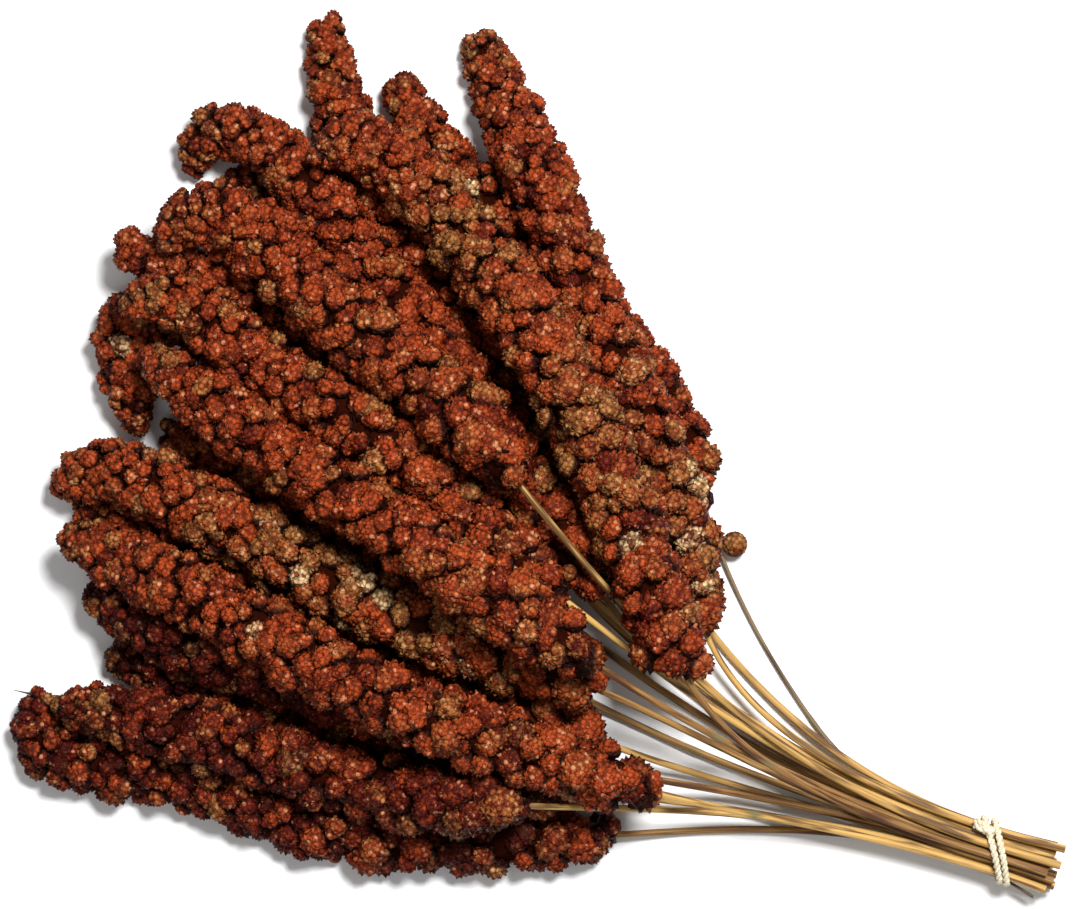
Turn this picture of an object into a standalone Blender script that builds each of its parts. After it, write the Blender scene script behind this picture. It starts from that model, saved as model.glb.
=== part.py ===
"""A tied bunch of dried red foxtail millet, lying on a table.

Each plant is a seed head on its straw. Its route is drawn by hand in the plan of the bunch, seen
from above with the tie at the origin, in millimetres. The plants are then laid down one after
another: each rests on the table and on those below it. BUNCH_TURN brings the long way of the
bunch along X, with the cut ends at +X, and the origin ends up on the table under its middle.
"""

import math

import bmesh
import bpy
import numpy as np
from mathutils import Matrix

MM = 0.001

# Seed heads
HEAD_RADIUS = 12.6
SPIRE = 0.56  # radius of a slender tip against the full head
BLUNT = 0.66  # and of a blunt one
TAPER_LENGTH = 62.0  # from the tip to full thickness
TIP_ROUNDING = 8.0
TIP_END = 0.5  # radius at the very tip, against the tip's own
BASE_ROUNDING = 12.0
BASE_END = 0.55  # radius where the straw begins, against the full head
LOBE_STEP = 8.8  # between rings of seed clusters
LOBE_SIDES_SETTING = 3  # a curve's bevel resolution: ten clusters and hollows round the head
LOBE_SIDES = 2 * LOBE_SIDES_SETTING + 4
HOLLOW_AT_TIP = 0.75  # depth of the surface between clusters, against the radius
HOLLOW_AT_BASE = 0.63
HOLLOW_DRAW = (0.95, 1.05)
CLUSTER_DRAW = (0.93, 1.0)
PRESSED = 2.4  # how far a head on the table is flattened
LOWEST_MIDDLE = 4.0  # a head's centreline comes no nearer to the table

# Straws
STEM_RADIUS_HEAD = 1.7
STEM_RADIUS_TIE = 1.72
THIN_STEM = 0.6  # share of the thickness of the one thin, bowed straw
HEAD_LEAD = 0.28  # share of the way over which a straw keeps the direction of its head
TIE_LEAD = 0.4  # and that of the tie
STEM_STEP = 14.0
STEM_SIDES_SETTING = 1
STUB_LENGTH = 25.0  # from the tie to the cut ends
STUB_STAGGER = 3.0
STUB_SPREAD = 1.12

# Tie
TIE_ROWS = (4, 5, 4, 5, 2)  # straws across the tie, row by row from the bottom
TIE_SPACING = 4.0
TIE_DIRECTION = math.radians(-17)  # of the cut ends, in the plan
TIE_HALF_LENGTH = 7.0  # of the stretch where the straws run side by side
TWINE_RADIUS = 1.1
TWINE_POINTS = 30
TWINE_TURNS = ((math.radians(12), 0.0), (math.radians(-9), 0.5))  # tilt, and first point's place
KNOT_RADIUS = 2.3

# Bunch
GAP = 0.3
CLEARANCE = 0.55  # between the round outlines of two plants
SLOPE = 0.38  # how steeply a plant falls away from what holds it up
STEP = 2.5  # between the points of a route
FINE_POINTS = 60  # of a curve before its points are spaced out evenly
SMOOTHING = 4  # points to each side over which the laid heights are smoothed
BLEND_LENGTH = 105.0  # over which a straw comes down into its place in the tie
BUNCH_TURN = math.radians(30)

# Easing the straws apart
EASING_ROUNDS = 260
EASING_REACH = 9.0  # gap beyond which two points are never tested
ABREAST = 0.7  # of a step: how far ahead a point still counts as beside another
EASING_RATE = 0.5
STIFFNESS = 0.08  # how much of its bend a straw loses in each round

SEED = 11

# One entry for each plant, in the order in which they are laid: how thick the head is against
# the usual one, how blunt its tip is, and its plan route from tip to base
PLANTS = (
    # along the near edge, its tip hooked back
    (1.0, BLUNT, ((-380, 62), (-386, 58), (-389, 51), (-385, 43), (-374, 38), (-360, 36),
                  (-336, 33), (-312, 27), (-288, 15), (-257, 8), (-224, 5), (-192, 5),
                  (-156, 6))),
    # under the middle
    (0.92, BLUNT, ((-336, 169), (-323, 163), (-304, 151), (-280, 134), (-252, 115), (-224, 96),
                   (-196, 79), (-172, 65))),
    # the tallest spire
    (0.97, SPIRE, ((-270, 337), (-267, 314), (-261, 290), (-246, 258), (-222, 222), (-199, 190),
                   (-180, 160), (-163, 132), (-148, 106))),
    # short, at the far edge, on the thin straw
    (0.85, SPIRE, ((-149, 214), (-138, 193), (-127, 170), (-117, 140))),
    # in the shade of the near side
    (0.92, BLUNT, ((-358, 80), (-348, 77), (-334, 71), (-310, 62), (-286, 54), (-256, 45),
                   (-226, 36), (-196, 29), (-168, 25))),
    # under the middle, nearer
    (0.9, BLUNT, ((-372, 136), (-345, 131), (-318, 119), (-284, 98), (-252, 83), (-220, 68),
                  (-186, 56), (-160, 45))),
    # drooping down the edge of the fan
    (0.95, BLUNT, ((-345, 169), (-349, 188), (-352, 205), (-347, 218), (-335, 220), (-318, 208),
                   (-298, 190), (-275, 170), (-249, 151))),
    # under the far side, deep between its neighbours
    (0.85, BLUNT, ((-310, 273), (-290, 262), (-270, 242), (-254, 220), (-236, 198), (-218, 174),
                   (-201, 150), (-184, 126))),
    # the low spire
    (0.97, SPIRE, ((-242, 313), (-232, 292), (-218, 272), (-198, 250), (-178, 216), (-164, 184),
                   (-154, 158))),
    # second one in the shade of the near side
    (1.0, BLUNT, ((-365, 105), (-355, 99), (-340, 91), (-312, 80), (-282, 70), (-252, 61),
                  (-222, 50))),
    # its tip droops between two others
    (0.95, BLUNT, ((-350, 249), (-347, 240), (-338, 235), (-320, 234), (-299, 224), (-275, 207),
                   (-252, 186), (-228, 164))),
    # beside the near edge
    (1.04, BLUNT, ((-377, 58), (-359, 57), (-339, 53), (-318, 47), (-298, 42), (-278, 34),
                   (-257, 28), (-228, 22), (-192, 20))),
    # hooked over at the far side
    (0.95, BLUNT, ((-322, 273), (-322, 284), (-315, 290), (-303, 289), (-290, 282), (-279, 271),
                   (-268, 256), (-252, 236), (-232, 212), (-214, 186), (-196, 160),
                   (-178, 133), (-160, 106))),
    # the spire of the far edge
    (1.05, SPIRE, ((-208, 330), (-198, 302), (-186, 274), (-173, 244), (-161, 214), (-148, 184),
                   (-135, 154), (-126, 124), (-118, 92))),
    # the six that lie open on top
    (1.0, BLUNT, ((-347, 216), (-340, 223), (-323, 220), (-300, 200), (-272, 182), (-241, 162),
                  (-220, 143), (-196, 120), (-176, 104))),
    (1.1, BLUNT, ((-376, 143), (-370, 152), (-352, 153), (-323, 140), (-292, 122), (-262, 105),
                  (-232, 92), (-199, 82), (-176, 73), (-162, 67))),
    (1.04, BLUNT, ((-374, 128), (-357, 120), (-333, 110), (-308, 97), (-278, 80), (-247, 64),
                   (-219, 53), (-188, 42), (-160, 32), (-141, 26))),
    (1.02, BLUNT, ((-341, 200), (-321, 185), (-296, 167), (-268, 148), (-240, 130), (-216, 113),
                   (-188, 95), (-166, 80))),
    (1.14, BLUNT, ((-333, 243), (-326, 252), (-314, 257), (-298, 249), (-280, 231), (-260, 212),
                   (-236, 193), (-212, 174), (-193, 150))),
    (1.12, BLUNT, ((-271, 278), (-259, 285), (-243, 278), (-227, 264), (-208, 240), (-190, 216),
                   (-174, 188), (-160, 160), (-147, 130), (-138, 102), (-126, 73))),
)
THIN_PLANT = 3
THIN_STEM_ROUTE = ((-112, 124), (-99, 94), (-80, 62), (-54, 30))
LOOSE_CLUSTER_RADIUS = 5.4
LOOSE_CLUSTER_PLACE = 7  # point of the thin straw beside which it stands
LOOSE_STRAW_RADIUS = 0.6
LOOSE_STRAW_ROUTE = ((-9, -9.3), (4, -9.3), (9, -10.2), (21, -13.5))  # along and across the tie

RUST = (0.19, 0.045, 0.012)
STRAW = (0.50, 0.31, 0.11)
GREY_STRAW = (0.20, 0.15, 0.09)
OLIVE = (0.16, 0.09, 0.03)
CREAM = (0.72, 0.66, 0.52)


# Routes

def evenly_spaced(route, step):
    """The route again, with its points about a step apart."""
    lengths = np.linalg.norm(np.diff(route, axis=0), axis=1)
    along = np.concatenate([[0], np.cumsum(lengths)])
    places = np.linspace(0, along[-1], max(2, round(along[-1] / step) + 1))
    return np.stack([np.interp(places, along, column) for column in route.T], axis=1)


def smooth_route(points):
    """A smooth curve through the points that were chosen by hand."""
    knots = np.array(points, float)
    knots = np.vstack([2 * knots[0] - knots[1], knots, 2 * knots[-1] - knots[-2]])
    share = np.linspace(0, 1, FINE_POINTS // 4, endpoint=False)[:, None]
    runs = []
    for before, start, end, after in zip(knots, knots[1:], knots[2:], knots[3:]):
        bend = 2 * before - 5 * start + 4 * end - after
        twist = 3 * start - before - 3 * end + after
        runs.append(start + (share * (end - before) + share**2 * bend + share**3 * twist) / 2)
    return evenly_spaced(np.vstack(runs + [knots[-2:-1]]), STEP)


def tie_axes():
    """The way of the cut ends, and the way across the tie, in the plan."""
    along = np.array([math.cos(TIE_DIRECTION), math.sin(TIE_DIRECTION)])
    return along, np.array([-along[1], along[0]])


def tie_slots():
    """The place of each straw in the tie, (across, up), from the bottom row."""
    lowest = 2 * TWINE_RADIUS + GAP + STEM_RADIUS_TIE
    slots = []
    for row, count in enumerate(TIE_ROWS):
        first = (1 - count) / 2
        height = lowest + row * TIE_SPACING * math.sin(math.radians(60))
        slots.append([((first + column) * TIE_SPACING, height) for column in range(count)])
    return slots


def shared_slots():
    """The slot of each plant: those laid first get the bottom row, in the order they fan out."""
    order = iter(range(len(PLANTS)))
    chosen = {}
    for row in tie_slots():
        members = [next(order) for _ in row]
        members.sort(key=fan_angle, reverse=True)
        chosen.update(zip(members, row))
    return chosen


def fan_angle(plant):
    """The direction of a head's base, seen from the tie."""
    x, y = PLANTS[plant][-1][-1]
    return math.atan2(y, x)


def stem_plan(plant, slot):
    """The straw in the plan, from the head's base to where it enters the tie."""
    along, across = tie_axes()
    entry = across * slot[0] - along * TIE_HALF_LENGTH
    points = np.array(PLANTS[plant][-1], float)
    base = points[-1]
    if plant == THIN_PLANT:
        return smooth_route(np.vstack([base, THIN_STEM_ROUTE, entry]))
    leaving = (base - points[-2]) / np.linalg.norm(base - points[-2])
    reach = np.linalg.norm(entry - base)
    first = base + leaving * reach * HEAD_LEAD
    second = entry - along * reach * TIE_LEAD
    share = np.linspace(0, 1, FINE_POINTS)[:, None]
    route = ((1 - share) ** 3 * base + 3 * share * (1 - share) ** 2 * first
             + 3 * share**2 * (1 - share) * second + share**3 * entry)
    return evenly_spaced(route, STEP)


def head_radii(route, size, tip):
    """The head's radius along its route: a rounded tip, a long taper, and a rounded base."""
    along = np.arange(len(route)) * STEP
    taper = np.sin(np.clip(along / TAPER_LENGTH, 0, 1) * math.pi / 2)
    radius = HEAD_RADIUS * size * (tip + (1 - tip) * taper)
    rounding = np.sqrt(np.clip(along / TIP_ROUNDING, 0, 1))
    ending = np.sqrt(np.clip((along[-1] - along) / BASE_ROUNDING, 0, 1))
    return radius * (TIP_END + (1 - TIP_END) * rounding) * (BASE_END + (1 - BASE_END) * ending)


def stem_radii(count, thin):
    """The straw's radius along its route, thicker towards the tie."""
    radius = np.linspace(STEM_RADIUS_HEAD, STEM_RADIUS_TIE, count)
    return radius * THIN_STEM if thin else radius


# Laying the plants down

def rolling(values, reach, rule):
    """A rule, such as a mean, over each value and its neighbours."""
    padded = np.pad(values, reach, mode="edge")
    return rule(np.lib.stride_tricks.sliding_window_view(padded, 2 * reach + 1), axis=1)


def laid_heights(plan, radius, table, placed):
    """The heights of a route that rests on the table and on the plants already placed."""
    need = table.copy()
    if len(placed):
        distance = np.linalg.norm(plan[:, None] - placed[None, :, :2], axis=2)
        touching = radius[:, None] + placed[None, :, 3] + CLEARANCE
        over = np.sqrt(np.clip(touching**2 - distance**2, 0, None))
        resting = np.where(over > 0, placed[None, :, 2] + over, 0)
        need = np.maximum(need, resting.max(axis=1))
    along = np.arange(len(plan)) * STEP
    held = (need[None] - SLOPE * abs(along[:, None] - along[None])).max(axis=1)
    return rolling(rolling(held, SMOOTHING, np.max), SMOOTHING, np.mean)


def lay_bunch():
    """Head and straw of each plant, as rows of x, y, z and radius."""
    slots = shared_slots()
    placed = np.empty((0, 4))
    heads, stems = [], []
    for plant, (size, tip, points) in enumerate(PLANTS):
        head_plan = smooth_route(points)
        stem = stem_plan(plant, slots[plant])[1:]
        head_radius = head_radii(head_plan, size, tip)
        stem_radius = stem_radii(len(stem), plant == THIN_PLANT)
        plan = np.vstack([head_plan, stem])
        radius = np.concatenate([head_radius, stem_radius])
        pressed = np.maximum(head_radius - PRESSED, LOWEST_MIDDLE)
        table = np.concatenate([pressed, stem_radius])
        height = laid_heights(plan, radius, table, placed)
        remaining = (len(plan) - 1 - np.arange(len(plan))) * STEP
        share = np.clip(1 - remaining / BLEND_LENGTH, 0, 1)
        share = share * share * (3 - 2 * share)
        height = height * (1 - share) + slots[plant][1] * share
        rows = np.column_stack([plan, height, radius])
        placed = np.vstack([placed, rows])
        heads.append(rows[: len(head_radius)])
        stems.append(rows[len(head_radius):])
    return heads, ease_apart(heads, stems), slots


def ease_apart(heads, stems):
    """The straws again, moved sideways until they clear each other and the heads."""
    rows = np.vstack(stems + heads)
    owner = np.concatenate([np.full(len(part), number) for number, part in enumerate(stems + heads)])
    straw = owner < len(stems)
    free = straw.copy()
    for number in range(len(stems)):
        own = np.flatnonzero(owner == number)
        free[own[:3]] = free[own[-3:]] = False
    place = rows[:, :3].copy()
    radius = rows[:, 3]
    apart = np.linalg.norm(place[straw][:, None] - place[None], axis=2)
    reach = radius[straw][:, None] + radius[None] + EASING_REACH
    first, second = np.nonzero(apart < reach)
    same_plant = owner[first] == owner[second] % len(stems)
    first, second = first[~same_plant], second[~same_plant]
    least = radius[first] + radius[second] + CLEARANCE
    for _ in range(EASING_ROUNDS):
        ahead = np.roll(place, -1, axis=0) - np.roll(place, 1, axis=0)
        ahead /= np.linalg.norm(ahead, axis=1)[:, None]
        between = place[first] - place[second]
        along = (between * ahead[first]).sum(axis=1)
        beside = between - along[:, None] * ahead[first]
        width = np.linalg.norm(beside, axis=1) + 1e-6
        push = np.clip(least - width, 0, None) * (abs(along) < ABREAST * STEP)
        share = np.where(straw[second], 0.5, 1.0)
        shove = beside / width[:, None] * (push * share)[:, None]
        moved = np.stack([np.bincount(first, shove[:, axis], len(place)) for axis in range(3)], 1)
        moved *= free[:, None] * EASING_RATE
        moved = (moved + (np.roll(moved, 1, axis=0) + np.roll(moved, -1, axis=0)) / 2) / 2
        bent = (np.roll(place, 1, axis=0) + np.roll(place, -1, axis=0)) / 2 - place
        place += (moved + STIFFNESS * bent) * free[:, None]
        place[:, 2] = np.maximum(place[:, 2], np.where(straw, radius, 0))
    eased = np.column_stack([place, radius])
    return [eased[owner == number] for number in range(len(stems))]


# Solids

def new_material(name, color, roughness):
    material = bpy.data.materials.new(name)
    material.use_nodes = True
    shader = material.node_tree.nodes["Principled BSDF"]
    shader.inputs["Base Color"].default_value = (*color, 1)
    shader.inputs["Roughness"].default_value = roughness
    shader.inputs["Metallic"].default_value = 0
    material.diffuse_color = (*color, 1)
    return material


def new_object(name, mesh, material, parts):
    mesh.materials.clear()
    mesh.materials.append(material)
    solid = bpy.data.objects.new(name, mesh)
    parts.objects.link(solid)
    return solid


def turned(points):
    """Plan places in the bunch's own frame, in metres."""
    cos, sin = math.cos(BUNCH_TURN), math.sin(BUNCH_TURN)
    x, y, z = np.asarray(points, float).T
    return np.stack([x * cos - y * sin, x * sin + y * cos, z], axis=1) * MM


def tube_mesh(name, points, radii, sides_setting, closed=False):
    """A tube along the points, swept by a curve's bevel and made a mesh."""
    curve = bpy.data.curves.new(name, "CURVE")
    curve.dimensions = "3D"
    curve.bevel_depth = MM
    curve.bevel_resolution = sides_setting
    curve.use_fill_caps = True
    spline = curve.splines.new("POLY")
    spline.points.add(len(points) - 1)
    spline.use_cyclic_u = closed
    for knot, place, radius in zip(spline.points, turned(points), radii):
        knot.co = (*place, 1)
        knot.radius = radius
    guide = bpy.data.objects.new(name, curve)
    bpy.context.scene.collection.objects.link(guide)
    evaluated = guide.evaluated_get(bpy.context.evaluated_depsgraph_get())
    mesh = bpy.data.meshes.new_from_object(evaluated)
    bpy.data.objects.remove(guide)
    bpy.data.curves.remove(curve)
    mesh.name = name
    return mesh


def raise_clusters(mesh, centres, sides, rng):
    """Every second corner of the rings stays out as a seed cluster, and the rest sink in."""
    rings = len(centres)
    body = len(mesh.vertices) - rings * sides  # the caps come first in a curve's mesh
    for ring in range(1, rings - 1):
        hollow = HOLLOW_AT_TIP + (HOLLOW_AT_BASE - HOLLOW_AT_TIP) * ring / rings
        centre = centres[ring]
        for side in range(sides):
            corner = mesh.vertices[body + ring * sides + side]
            out = np.array(corner.co) - centre
            sunk = hollow * rng.uniform(*HOLLOW_DRAW)
            share = rng.uniform(*CLUSTER_DRAW) if (ring + side) % 2 else sunk
            corner.co = centre + out * share


def finish_mesh(mesh):
    """Caps welded on, the part below the table cut off flat, and every face a triangle."""
    shape = bmesh.new()
    shape.from_mesh(mesh)
    bmesh.ops.remove_doubles(shape, verts=shape.verts, dist=1e-6)
    bmesh.ops.triangulate(shape, faces=shape.faces, quad_method="SHORT_EDGE")
    if min(corner.co.z for corner in shape.verts) < 0:
        everything = shape.verts[:] + shape.edges[:] + shape.faces[:]
        bmesh.ops.bisect_plane(shape, geom=everything, plane_no=(0, 0, 1), clear_inner=True)
        rim = [edge for edge in shape.edges if edge.is_boundary]
        bmesh.ops.holes_fill(shape, edges=rim)
        bmesh.ops.triangulate(shape, faces=shape.faces)
    bmesh.ops.recalc_face_normals(shape, faces=shape.faces)
    for face in shape.faces:
        face.smooth = False
    shape.to_mesh(mesh)
    shape.free()


def build_head(number, rows, material, parts, rng):
    rows = evenly_spaced(rows, LOBE_STEP)
    name = f"head_{number:02}"
    mesh = tube_mesh(name, rows[:, :3], rows[:, 3], LOBE_SIDES_SETTING)
    raise_clusters(mesh, turned(rows[:, :3]), LOBE_SIDES, rng)
    finish_mesh(mesh)
    return new_object(name, mesh, material, parts)


def build_stem(number, rows, slot, material, parts, rng):
    """The straw from just under the head through the tie to its cut end."""
    along, across = tie_axes()
    stub = STUB_LENGTH + rng.uniform(-STUB_STAGGER, STUB_STAGGER)
    middle = sum(height for row in tie_slots() for _, height in row) / len(PLANTS)
    radius = rows[-1, 3]
    ends = []
    for reach, spread in ((TIE_HALF_LENGTH, 1.0), (stub, STUB_SPREAD)):
        plan = along * reach + across * slot[0] * spread
        height = max(middle + (slot[1] - middle) * spread, radius)
        ends.append((*plan, height, radius))
    leaving = rows[1, :3] - rows[0, :3]
    start = rows[0, :3] + leaving / np.linalg.norm(leaving) * (GAP - STEP)
    rows = evenly_spaced(np.vstack([[*start, rows[0, 3]], rows[1:]]), STEM_STEP)
    rows = np.vstack([rows, ends])
    name = f"stem_{number:02}"
    mesh = tube_mesh(name, rows[:, :3], rows[:, 3], STEM_SIDES_SETTING)
    finish_mesh(mesh)
    return new_object(name, mesh, material, parts)


def build_loose_cluster(rows, material, parts, rng):
    """The one seed cluster that stands free, beside the thin straw."""
    nearest = rows[LOOSE_CLUSTER_PLACE]
    following = rows[LOOSE_CLUSTER_PLACE + 1, :2] - nearest[:2]
    outward = np.array([-following[1], following[0]]) / np.linalg.norm(following)
    plan = nearest[:2] + outward * (nearest[3] + GAP + LOOSE_CLUSTER_RADIUS)
    place = turned([(*plan, max(nearest[2], LOOSE_CLUSTER_RADIUS))])[0]
    bpy.ops.mesh.primitive_ico_sphere_add(subdivisions=2, radius=LOOSE_CLUSTER_RADIUS * MM)
    ball = bpy.context.object
    mesh = ball.data
    bpy.data.objects.remove(ball)
    for corner in mesh.vertices:
        corner.co = place + np.array(corner.co) * rng.uniform(0.85, 1.0)
    finish_mesh(mesh)
    return new_object("cluster_loose", mesh, material, parts)


def build_loose_straw(material, parts):
    """A thin broken straw held in the side of the tie, its end standing off the cut ends."""
    along, across = tie_axes()
    height = tie_slots()[2][0][1]
    points = []
    for reach, side in LOOSE_STRAW_ROUTE:
        points.append((*(along * reach + across * side), height))
    points = evenly_spaced(np.array(points), STEM_STEP / 2)
    radii = [LOOSE_STRAW_RADIUS] * len(points)
    mesh = tube_mesh("straw_loose", points, radii, STEM_SIDES_SETTING)
    finish_mesh(mesh)
    return new_object("straw_loose", mesh, material, parts)


def twine_loop(slots, tilt, first):
    """One turn of twine round the straws: each direction touches the straw furthest out."""
    along, across = tie_axes()
    reach = STEM_RADIUS_TIE + GAP + TWINE_RADIUS
    places = np.array(slots)
    points = []
    for number in range(TWINE_POINTS):
        turn = (number + first) * 2 * math.pi / TWINE_POINTS
        way = np.array([math.cos(turn), math.sin(turn)])
        outermost = places[(places @ way).argmax()]
        side, height = outermost + way * reach
        shift = math.tan(tilt) * side
        points.append((*(across * side + along * shift), height))
    return np.array(points)


def build_tie(slots, material, parts):
    """Two turns of twine that cross, and their knot, as one body."""
    meshes = []
    for tilt, first in TWINE_TURNS:
        points = twine_loop(slots, tilt, first)
        radii = [TWINE_RADIUS] * len(points)
        meshes.append(tube_mesh("tie", points, radii, STEM_SIDES_SETTING, True))
    tie = new_object("tie", meshes[0], material, parts)
    across = tie_axes()[1]
    side, height = max(slots, key=lambda slot: slot[1])
    height += STEM_RADIUS_TIE + GAP + KNOT_RADIUS
    place = turned([(*(across * side), height)])[0]
    bpy.ops.mesh.primitive_ico_sphere_add(subdivisions=2, radius=KNOT_RADIUS * MM, location=place)
    others = [bpy.data.objects.new("second turn", meshes[1]), bpy.context.object]
    joined = bpy.data.collections.new("tie pieces")
    bpy.context.scene.collection.children.link(joined)
    for piece in others:
        joined.objects.link(piece)
    union = tie.modifiers.new("union", "BOOLEAN")
    union.operation = "UNION"
    union.operand_type = "COLLECTION"
    union.collection = joined
    union.solver = "EXACT"
    bpy.context.view_layer.objects.active = tie
    bpy.ops.object.modifier_apply(modifier=union.name)
    for piece in others:
        bpy.data.objects.remove(piece)
    bpy.data.collections.remove(joined)
    finish_mesh(tie.data)
    return tie


def centre_bunch(parts):
    """Moves every solid so that the origin is under the middle of the bunch's box."""
    corners = np.array([corner.co for solid in parts.objects for corner in solid.data.vertices])
    middle = (corners.min(axis=0) + corners.max(axis=0)) / 2
    for solid in parts.objects:
        solid.data.transform(Matrix.Translation((-middle[0], -middle[1], 0)))


def clear_scene():
    for thing in list(bpy.data.objects):
        bpy.data.objects.remove(thing)


def main():
    clear_scene()
    parts = bpy.data.collections.new("millet_bunch")
    bpy.context.scene.collection.children.link(parts)
    rust = new_material("seed_rust", RUST, 0.6)
    straw = new_material("straw", STRAW, 0.45)
    grey = new_material("grey_straw", GREY_STRAW, 0.6)
    olive = new_material("seed_olive", OLIVE, 0.6)
    cream = new_material("twine", CREAM, 0.85)
    rng = np.random.default_rng(SEED)
    heads, stems, slots = lay_bunch()
    for plant in range(len(PLANTS)):
        build_head(plant + 1, heads[plant], rust, parts, rng)
        stem_material = grey if plant == THIN_PLANT else straw
        build_stem(plant + 1, stems[plant], slots[plant], stem_material, parts, rng)
    build_loose_cluster(stems[THIN_PLANT], olive, parts, rng)
    build_loose_straw(grey, parts)
    build_tie(list(slots.values()), cream, parts)
    centre_bunch(parts)


main()
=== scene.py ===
# %% [markdown]
# # A tied bunch of dried red millet
#
# The real thing is twenty long seed heads on their straws, gathered in one twine tie and laid on
# a table. A head is a thin stalk closely covered with balls of tiny seeds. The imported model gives
# the place, course and thickness of every head and straw. This script keeps those and makes the
# fine surface: seed clusters, straws with their grain, twisted twine, and a material for each.

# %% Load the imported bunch
import math

import bmesh
import bpy
import numpy as np
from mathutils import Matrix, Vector
from mathutils.bvhtree import BVHTree


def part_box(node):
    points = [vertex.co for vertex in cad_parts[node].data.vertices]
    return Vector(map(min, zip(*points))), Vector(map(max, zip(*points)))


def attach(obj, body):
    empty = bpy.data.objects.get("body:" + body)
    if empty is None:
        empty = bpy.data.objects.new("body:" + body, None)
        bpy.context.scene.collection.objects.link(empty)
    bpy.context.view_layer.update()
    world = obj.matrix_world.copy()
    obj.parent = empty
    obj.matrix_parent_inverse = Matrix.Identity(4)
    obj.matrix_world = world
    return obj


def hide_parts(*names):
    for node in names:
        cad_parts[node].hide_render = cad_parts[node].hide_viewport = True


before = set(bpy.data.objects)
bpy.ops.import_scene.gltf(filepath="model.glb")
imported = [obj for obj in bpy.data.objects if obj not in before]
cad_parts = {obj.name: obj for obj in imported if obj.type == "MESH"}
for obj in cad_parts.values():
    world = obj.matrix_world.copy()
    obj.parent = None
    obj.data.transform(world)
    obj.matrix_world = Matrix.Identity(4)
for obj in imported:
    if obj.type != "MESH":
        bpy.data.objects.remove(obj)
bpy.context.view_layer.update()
MM = 0.001
SEED = 23
VIEW_TURN = math.radians(30)  # of the picture's top from +Y, against the clock
HEADS = sorted(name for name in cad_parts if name.startswith("head_"))
STEMS = sorted(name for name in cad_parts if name.startswith("stem_"))
tie_middle = np.mean(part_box("tie"), axis=0)

# %% [markdown]
# ## The course of each head and straw
#
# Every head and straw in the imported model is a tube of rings. Starting from the ring at one end
# and stepping from corner to corner along the edges, each step reaches the next ring. The middle
# of a ring is a point of the course, and the distance to its furthest corners is the thickness.
# A ring that the table cuts off below has its middle half its width under its top.
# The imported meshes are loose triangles, so a welded copy is walked and the node is left alone.


# %% Walk the rings of a tube
def welded(name):
    """A copy of a node's mesh with its loose triangles joined."""
    shape = bmesh.new()
    shape.from_mesh(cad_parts[name].data)
    bmesh.ops.remove_doubles(shape, verts=shape.verts, dist=1e-6)
    return shape


def walk_rings(name, start, reach):
    """Middles and radii of a tube's rings, from the end that lies within reach of start."""
    shape = welded(name)
    ring = {corner for corner in shape.verts if (corner.co - Vector(start)).length < reach}
    seen = set(ring)
    rings = []
    while ring:
        rings.append(np.array([corner.co[:] for corner in ring]))
        ring = {edge.other_vert(corner) for corner in ring for edge in corner.link_edges} - seen
        seen |= ring
    shape.free()
    middles = np.array([places.mean(axis=0) for places in rings])
    ahead = np.gradient(middles, axis=0)
    ahead /= np.linalg.norm(ahead, axis=1)[:, None]
    radii = []
    for places, middle, way in zip(rings, middles, ahead):
        if places[:, 2].min() < 0.1 * MM:
            side = np.cross(way, (0, 0, 1))
            across = (places - middle) @ (side / np.linalg.norm(side))
            middle[2] = places[:, 2].max() - (across.max() - across.min()) / 2
        out = places - middle
        out -= np.outer(out @ way, way)
        radii.append(np.linalg.norm(out, axis=1).max())
    return middles, np.array(radii)


# %% Turn rings into a smooth line
def rolling_mean(values, reach):
    """Each row's mean with its neighbours, with the two ends kept in place."""
    padded = np.concatenate([2 * values[:1] - values[reach:0:-1], values,
                             2 * values[-1:] - values[-2:-reach - 2:-1]])
    sums = np.cumsum(np.concatenate([np.zeros_like(padded[:1]), padded]), axis=0)
    width = 2 * reach + 1
    return (sums[width:] - sums[:-width]) / width


def smooth_line(middles, radii, step, reach):
    """The tube's middle line as rows of x, y, z and radius, a step apart."""
    rows = np.column_stack([middles, radii])
    for _ in range(2):
        lengths = np.linalg.norm(np.diff(rows[:, :3], axis=0), axis=1)
        along = np.concatenate([[0], np.cumsum(lengths)])
        places = np.linspace(0, along[-1], round(along[-1] / step) + 1)
        rows = np.stack([np.interp(places, along, column) for column in rows.T], axis=1)
        rows = rolling_mean(rows, reach)
    return rows


def line_frames(line):
    """For each point of a line: the way ahead, and two ways across that don't twist."""
    ahead = np.gradient(line[:, :3], axis=0)
    ahead /= np.linalg.norm(ahead, axis=1)[:, None]
    side = np.cross(ahead[0], (0, 0, 1))
    sides = []
    for way in ahead:
        side = side - way * (side @ way)
        side = side / np.linalg.norm(side)
        sides.append(side)
    sides = np.array(sides)
    return ahead, sides, np.cross(ahead, sides)


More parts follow.
